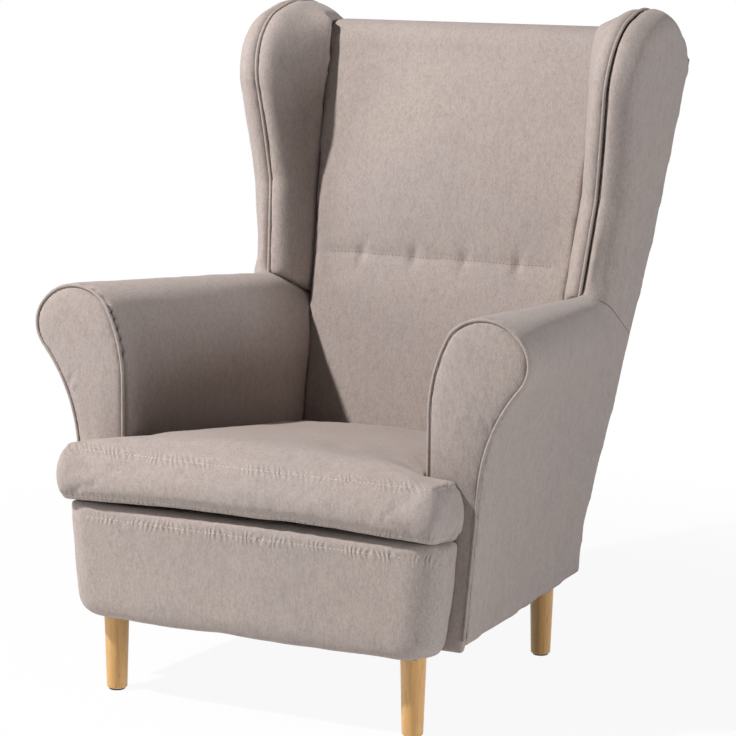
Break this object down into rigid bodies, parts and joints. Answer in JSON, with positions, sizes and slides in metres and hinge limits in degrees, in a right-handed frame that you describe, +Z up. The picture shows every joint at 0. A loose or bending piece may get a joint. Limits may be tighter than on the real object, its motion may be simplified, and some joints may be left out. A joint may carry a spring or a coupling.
{
  "type": "wingback armchair",
  "caption": "Upholstered wingback armchair with rolled arms, loose T-shaped seat cushion and turned wooden legs.",
  "frame": {"origin": "on the floor, under the middle of the chair's box", "axes": "+Z up, the chair faces -Y, +X is the right side seen from its front"},
  "size_m": [0.8144, 0.8946, 1.0125],
  "materials": {
    "taupe_fabric": "fine chenille weave",
    "leg_wood": "satin lacquered beech",
    "frame_wood": "planed",
    "plywood": "sanded",
    "foam": "open-cell foam and wadding",
    "lining_cloth": "spun cloth",
    "webbing": "woven strap",
    "spring_steel": "drawn wire",
    "steel_hardware": "zinc plated",
    "glide_plastic": "matte",
    "zip_tape": "woven tape with coil teeth",
    "zip_metal": "painted"
  },
  "bodies": {
    "chair": {"apron_cover": "taupe_fabric", "apron_pad": "foam", "arm_cover_left": "taupe_fabric", "arm_cover_right": "taupe_fabric", "arm_front_board_left": "plywood", "arm_front_board_right": "plywood", "arm_front_panel_left": "taupe_fabric", "arm_front_panel_right": "taupe_fabric", "arm_pad_left": "foam", "arm_pad_right": "foam", "arm_piping_left": "taupe_fabric", "arm_piping_right": "taupe_fabric", "arm_top_rail_left": "frame_wood", "arm_top_rail_right": "frame_wood", "back_cover": "taupe_fabric", "back_lower_rail": "frame_wood", "back_pad": "foam", "back_post_left": "frame_wood", "back_post_right": "frame_wood", "back_top_rail": "frame_wood", "back_webbing": "webbing", "dust_cover": "lining_cloth", "dust_cover_staples": "steel_hardware", "hanger_bolts": "steel_hardware", "leg_front_left": "leg_wood", "leg_front_right": "leg_wood", "leg_glides": "glide_plastic", "leg_plates": "plywood", "leg_rear_left": "leg_wood", "leg_rear_right": "leg_wood", "leg_tee_nuts": "steel_hardware", "outside_back_panel": "taupe_fabric", "plate_screws": "steel_hardware", "seat_deck_cover": "taupe_fabric", "seat_deck_pad": "foam", "seat_front_rail": "frame_wood", "seat_rear_rail": "frame_wood", "seat_side_rail_left": "frame_wood", "seat_side_rail_right": "frame_wood", "seat_springs": "spring_steel", "spring_clips": "steel_hardware", "spring_cloth": "lining_cloth", "wing_board_left": "plywood", "wing_board_right": "plywood", "wing_inner_cover_left": "taupe_fabric", "wing_inner_cover_right": "taupe_fabric", "wing_inner_pad_left": "foam", "wing_inner_pad_right": "foam", "wing_outer_cover_left": "taupe_fabric", "wing_outer_cover_right": "taupe_fabric", "wing_outer_pad_left": "foam", "wing_outer_pad_right": "foam", "wing_piping_left": "taupe_fabric", "wing_piping_right": "taupe_fabric"},
    "seat_cushion": {"cushion_core": "foam", "cushion_cover": "taupe_fabric", "cushion_zip_tape": "zip_tape"},
    "zip_slider": {"zip_slider": "zip_metal"}
  },
  "joints": [
    {"name": "cushion_slide", "type": "slide", "parent": "chair", "child": "seat_cushion", "axis": [0, -0.9945, 0.1045], "range_m": [0, 0.6]},
    {"name": "zip_slide", "type": "slide", "parent": "seat_cushion", "child": "zip_slider", "axis": [1, 0, 0], "range_m": [0, 0.36]}
  ]
}
